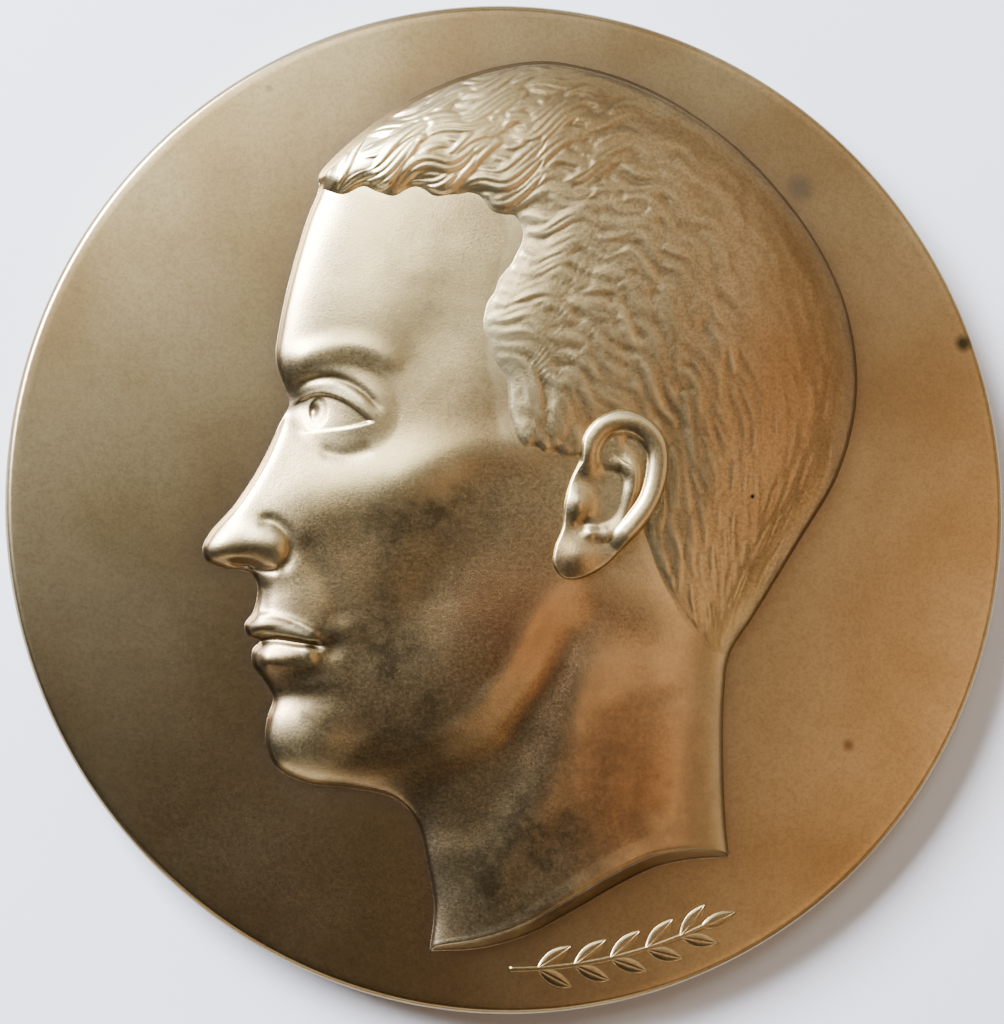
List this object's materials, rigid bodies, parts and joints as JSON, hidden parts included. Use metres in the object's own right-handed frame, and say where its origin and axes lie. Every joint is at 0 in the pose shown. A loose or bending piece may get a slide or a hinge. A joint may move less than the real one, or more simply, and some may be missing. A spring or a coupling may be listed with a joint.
{
  "type": "commemorative medal",
  "caption": "Round struck bronze medal with a man's head in profile in high relief on a flat field, and a plain flat reverse.",
  "frame": {"origin": "centre of the flat reverse, on the surface that the medal lies on", "axes": "+Z out of the face that carries the head, +Y towards the top of the head, +X towards the back of the head"},
  "size_m": [0.07, 0.07, 0.0066],
  "materials": {
    "patinated_bronze": "satin, struck bronze with a brown and gold patina"
  },
  "bodies": {
    "root": {"medal": "patinated_bronze"}
  },
  "joints": []
}
